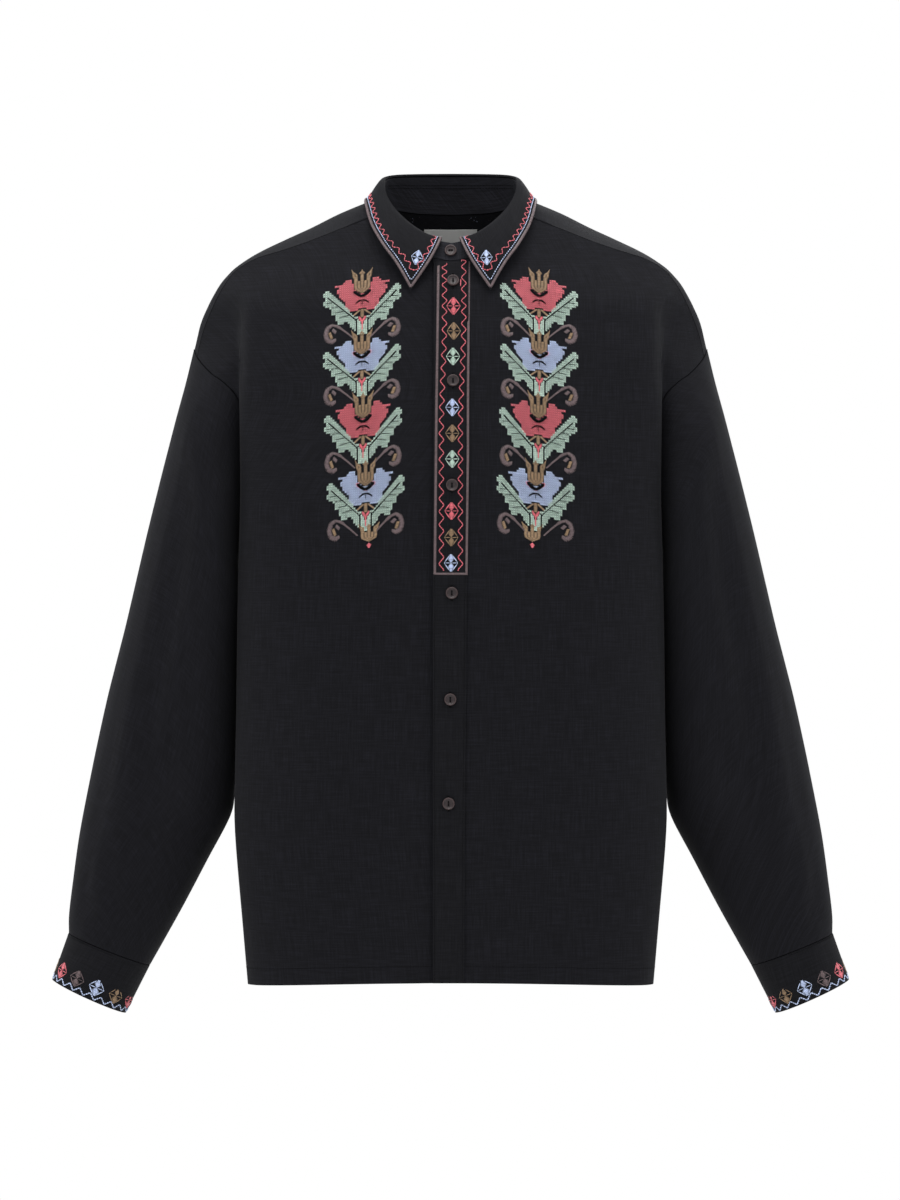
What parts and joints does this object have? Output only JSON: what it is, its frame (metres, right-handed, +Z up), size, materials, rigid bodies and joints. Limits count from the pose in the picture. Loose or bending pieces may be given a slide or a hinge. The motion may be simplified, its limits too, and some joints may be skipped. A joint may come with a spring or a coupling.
{
  "type": "embroidered shirt",
  "caption": "Loose long-sleeved black linen shirt with a pointed collar, button placket and folk embroidery, in its hollow worn form.",
  "frame": {"origin": "centre of the neck opening, at the height of the shoulders beside the collar", "axes": "+X to the wearer's left, which is the picture's right; -Y to the front; +Z up"},
  "size_m": [0.779, 0.2748, 0.8256],
  "materials": {
    "linen": "near-black linen, plain weave with a visible slub",
    "button": "dark brown, satin",
    "label": "plain white woven tape"
  },
  "bodies": {
    "root": {"back": "linen", "front_left": "linen", "front_right": "linen", "placket": "linen", "yoke": "linen", "sleeve_left": "linen", "sleeve_right": "linen", "cuff_left": "linen", "cuff_right": "linen", "collar_stand": "linen", "collar_leaf": "linen", "button_stand": "button", "button_1": "button", "button_2": "button", "button_3": "button", "button_4": "button", "button_5": "button", "button_6": "button", "cuff_button_left": "button", "cuff_button_right": "button", "label": "label"}
  },
  "joints": []
}
